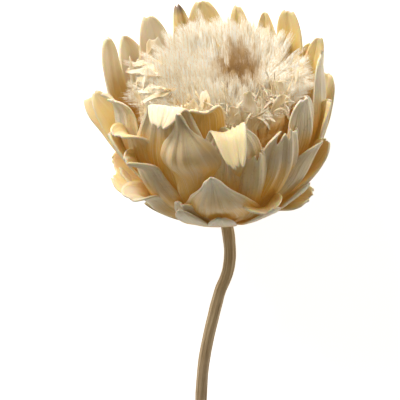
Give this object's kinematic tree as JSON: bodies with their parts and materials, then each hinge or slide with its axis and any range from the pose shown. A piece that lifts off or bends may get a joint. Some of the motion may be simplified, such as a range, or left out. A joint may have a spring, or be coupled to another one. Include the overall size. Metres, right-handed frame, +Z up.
{
  "type": "dried artichoke",
  "caption": "Dried globe artichoke in bloom, cut with its stem and lying on its side, with a cup of overlapping pointed bracts round a downy choke.",
  "frame": {"origin": "on the ground below the middle of the lying artichoke's box", "axes": "+Z up from the ground, +Y from the cut stem towards the head, along the artichoke's length"},
  "size_m": [0.1482, 0.338, 0.1489],
  "materials": {
    "bract": "dried, bleached leafy bract: matt cream outside with fine lengthwise ribs, waxy golden yellow inside",
    "heart": "dried fleshy receptacle, matt ochre",
    "choke": "cream down of dried florets, brown-grey in its hollow",
    "stem": "dried ribbed stalk, matt beige"
  },
  "bodies": {
    "root": {"stem": "stem", "heart": "heart", "choke": "choke", "bract_01": "bract", "bract_02": "bract", "bract_03": "bract", "bract_04": "bract", "bract_05": "bract", "bract_06": "bract", "bract_07": "bract", "bract_08": "bract", "bract_09": "bract", "bract_10": "bract", "bract_11": "bract", "bract_12": "bract", "bract_13": "bract", "bract_14": "bract", "bract_15": "bract", "bract_16": "bract", "bract_17": "bract", "bract_18": "bract", "bract_19": "bract", "bract_20": "bract", "bract_21": "bract", "bract_22": "bract", "bract_23": "bract", "bract_24": "bract", "bract_25": "bract", "bract_26": "bract", "bract_27": "bract", "bract_28": "bract", "bract_29": "bract", "bract_30": "bract", "bract_31": "bract", "bract_32": "bract", "bract_33": "bract", "bract_34": "bract", "bract_35": "bract", "bract_36": "bract", "bract_37": "bract", "bract_38": "bract", "bract_39": "bract", "bract_40": "bract", "bract_41": "bract", "bract_42": "bract", "bract_43": "bract", "bract_44": "bract", "bract_45": "bract", "bract_46": "bract", "bract_47": "bract", "bract_48": "bract"}
  },
  "joints": []
}
